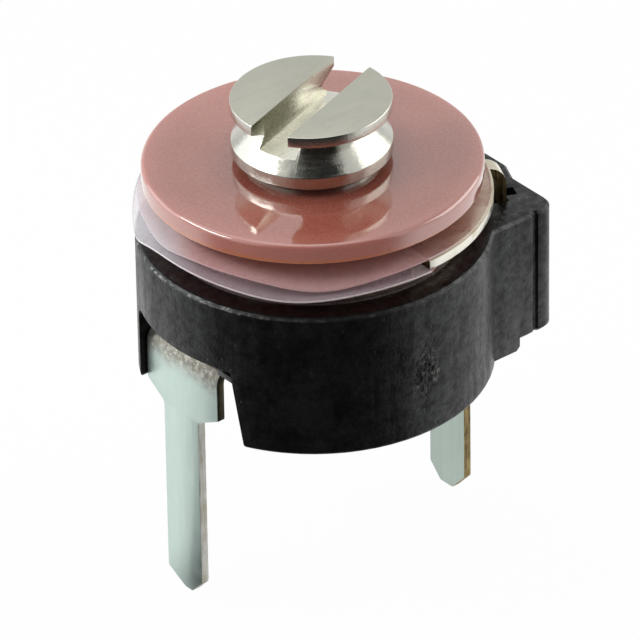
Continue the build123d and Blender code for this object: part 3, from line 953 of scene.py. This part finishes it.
def make_world():
    """A white studio with a dark strip in front of the object, behind the camera."""
    world = bpy.data.worlds.new("studio")
    bpy.context.scene.world = world
    world.use_nodes = True
    tree = world.node_tree
    room = tree.nodes["Background"]
    room.inputs["Color"].default_value = (1, 1, 1, 1)
    where = tree.nodes.new("ShaderNodeTexCoord").outputs["Generated"]
    strip = dark_sector(tree, front_angle(tree, where), *ROOM_STRIP)
    up = tree.nodes.new("ShaderNodeSeparateXYZ")
    tree.links.new(where, up.inputs[0])
    below_top = ramp(tree, up.outputs["Z"], 0.88, 0.96, 1.0, 0.0)
    shade = ramp(tree, product(tree, strip, below_top), 0.0, 1.0, ROOM_LEVEL, DARK_LEVEL)
    tree.links.new(shade, room.inputs["Strength"])


def make_lamp(name, direction, width, height, power, color=(1, 1, 1)):
    """A soft lamp that looks at the middle of the object. Power is in milliwatts."""
    data = bpy.data.lights.new(name, "AREA")
    data.shape = "RECTANGLE"
    data.size = width * MM
    data.size_y = height * MM
    data.energy = power / 1000
    data.color = color
    lamp = bpy.data.objects.new(name, data)
    bpy.context.scene.collection.objects.link(lamp)
    lamp.location = Vector((0, 0, 3 * MM)) + direction * LAMP_DISTANCE * MM
    lamp.rotation_mode = "QUATERNION"
    lamp.rotation_quaternion = (-direction).to_track_quat("-Z", "Y")


def make_floor():
    """A white floor just under the pins, which keeps the object's shadow and is dark in front for gloss."""
    bm = bmesh.new()
    bmesh.ops.create_grid(bm, x_segments=1, y_segments=1, size=FLOOR_REACH)
    for vert in bm.verts:
        vert.co.z = FLOOR_LEVEL
    material = bpy.data.materials.new("white_floor")
    material.use_nodes = True
    tree = material.node_tree
    shader = tree.nodes["Principled BSDF"]
    spot = tree.nodes.new("ShaderNodeTexCoord").outputs["Object"]
    length = tree.nodes.new("ShaderNodeVectorMath")
    length.operation = "LENGTH"
    tree.links.new(spot, length.inputs[0])
    far = ramp(tree, length.outputs["Value"], 6.8 * MM, 8.4 * MM, 0.0, 1.0)
    sector = product(tree, dark_sector(tree, front_angle(tree, spot), *FLOOR_SECTOR), far)
    shader.inputs["Base Color"].default_value = (0.8, 0.8, 0.8, 1)
    shader.inputs["Roughness"].default_value = 0.9
    shader.inputs["Specular IOR Level"].default_value = 0.0
    paths = tree.nodes.new("ShaderNodeLightPath")
    mirrored = product(tree, sector, paths.outputs["Is Glossy Ray"])
    glow = tree.nodes.new("ShaderNodeEmission")
    tree.links.new(ramp(tree, mirrored, 0.0, 1.0, 1.0, DARK_LEVEL), glow.inputs["Strength"])
    seen = paths.outputs["Is Camera Ray"]
    for kind in ("Is Glossy Ray", "Is Transmission Ray"):
        either = tree.nodes.new("ShaderNodeMath")
        either.operation = "MAXIMUM"
        tree.links.new(seen, either.inputs[0])
        tree.links.new(paths.outputs[kind], either.inputs[1])
        seen = either.outputs[0]
    share = tree.nodes.new("ShaderNodeMath")
    share.operation = "MULTIPLY"
    tree.links.new(seen, share.inputs[0])
    share.inputs[1].default_value = FLOOR_WHITE
    mix = tree.nodes.new("ShaderNodeMixShader")
    tree.links.new(share.outputs[0], mix.inputs[0])
    tree.links.new(shader.outputs[0], mix.inputs[1])
    tree.links.new(glow.outputs[0], mix.inputs[2])
    tree.links.new(mix.outputs[0], tree.nodes["Material Output"].inputs[0])
    floor = finish_mesh("floor", bm, [material])


make_camera()
make_world()
make_floor()
make_lamp("left_lamp", screen_direction(-1.0, 0.35, 0.4), 40, 40, 5.3, (0.90, 0.96, 1.0))
make_lamp("strip_lamp", screen_direction(-0.74, -0.1, 0.66), 36, 9, 12.0)
make_lamp("right_lamp", screen_direction(1.0, 0.3, 0.5), 50, 40, 12.0, (1.0, 0.98, 0.95))
make_lamp("top_lamp", screen_direction(-0.2, 0.3, 1.0), 43, 43, 4.0)

black = black_moulding()
turned = nickel("nickel_turned", (0.60, 0.595, 0.53), 0.12, 0.28, (900, 900, 9000), depth=0.008)
brushed = nickel("nickel_brushed", (0.55, 0.555, 0.47), 0.26, 0.42, (600, 7000, 7000), 0.5)
along_slot = -math.radians(SLOT_ANGLE)
milled = nickel("nickel_milled", (0.84, 0.84, 0.77), 0.22, 0.4, (500, 6000, 6000), along_slot)
slot_wall = nickel("slot_wall", (0.46, 0.45, 0.37), 0.18, 0.34, (500, 6000, 6000), along_slot)
red = red_plastic()
under_film = frosted_film("under_film", 0.4, (0.84, 0.81, 0.85), (0.62, 0.50, 0.54))
over_film = frosted_film("over_film", 0.53, (0.88, 0.82, 0.86), (0.84, 0.53, 0.52), 0.24)
film_edge = frosted_film("film_edge", 0.85, (0.92, 0.88, 0.92), (0.84, 0.70, 0.72))
# Painted shade with a red reflection of the disc, for the films' edges beside the stator plate.
painted_shade_edge = frosted_film("painted_shade_edge", 0.9, (0.42, 0.20, 0.15), (0.42, 0.20, 0.15))
brass = rolled_brass()
silvered_rim = rolled_brass("silvered_rim", (0.90, 0.88, 0.78), (0.62, 0.55, 0.38))
tin = tin_plate("tin_plate", (0.64, 0.78, 0.72), (0.71, 0.84, 0.78))
# A darker copy of the tin plate for the stator pin: painted shade, for the cup's shade that it stands in.
shaded_tin = tin_plate("shaded_tin_plate", (0.42, 0.50, 0.45), (0.47, 0.55, 0.49))
dark_edge = sheared_edge("dark_edge", (0.16, 0.14, 0.09), (0.03, 0.025, 0.015))
# Painted light: the rotor pin's cut sides made near-white and mostly unmetallic, so that they read as lit.
painted_lit_edge = sheared_edge("painted_lit_edge", (0.95, 0.95, 0.90), (0.62, 0.58, 0.46), 0.2)
brass_edge = sheared_edge("brass_edge", (0.52, 0.40, 0.19), (0.10, 0.07, 0.03))
# Sheared brass on the legs' cut sides, made darker as painted shade.
shaded_brass_leg_edge = sheared_edge("shaded_brass_leg_edge", (0.26, 0.19, 0.09), (0.035, 0.025, 0.01))

settle(from_solid("housing", [black], 0.06, 3), HOUSING_BODY, "black_moulding", "housing")
plate = from_solid("stator_plate", [brass, shaded_brass_leg_edge, silvered_rim], 0.03, 2)
mark_plate_edges(plate)
settle(plate, HOUSING_BODY, "brass", "stator_plate")
rotor_blade = from_solid("rotor_terminal", [tin, dark_edge, painted_lit_edge], 0.025, 2)
mark_cut_edges(rotor_blade)
settle(rotor_blade, HOUSING_BODY, "tin_plate", "rotor_terminal")
# The stator pin's blade takes the darker, painted-shade copy of the tin plate.
stator_blade = from_solid("stator_terminal", [shaded_tin, brass_edge, brass_edge], 0.025, 2)
mark_cut_edges(stator_blade)
settle(stator_blade, HOUSING_BODY, "tin_plate", "stator_terminal")
make_spindle([turned, brushed, milled, slot_wall])
make_disc(red)
make_films(under_film, over_film, film_edge, painted_shade_edge)
make_gate_scar(broken_moulding())

finishes = {"rotor_collar": turned, "contact_spring": turned, "retaining_washer": turned}
for level in range(1, 5):
    finishes[f"rotor_spacer_{level}"] = brass
    finishes[f"rotor_vane_{level}"] = brass
    finishes[f"stator_vane_{level}"] = brass
    finishes[f"stator_spacers_{level}"] = brass
for level in range(1, 8):
    finishes[f"film_{level}"] = under_film
dress_nodes(finishes)

bpy.context.scene.view_settings.view_transform = "Standard"
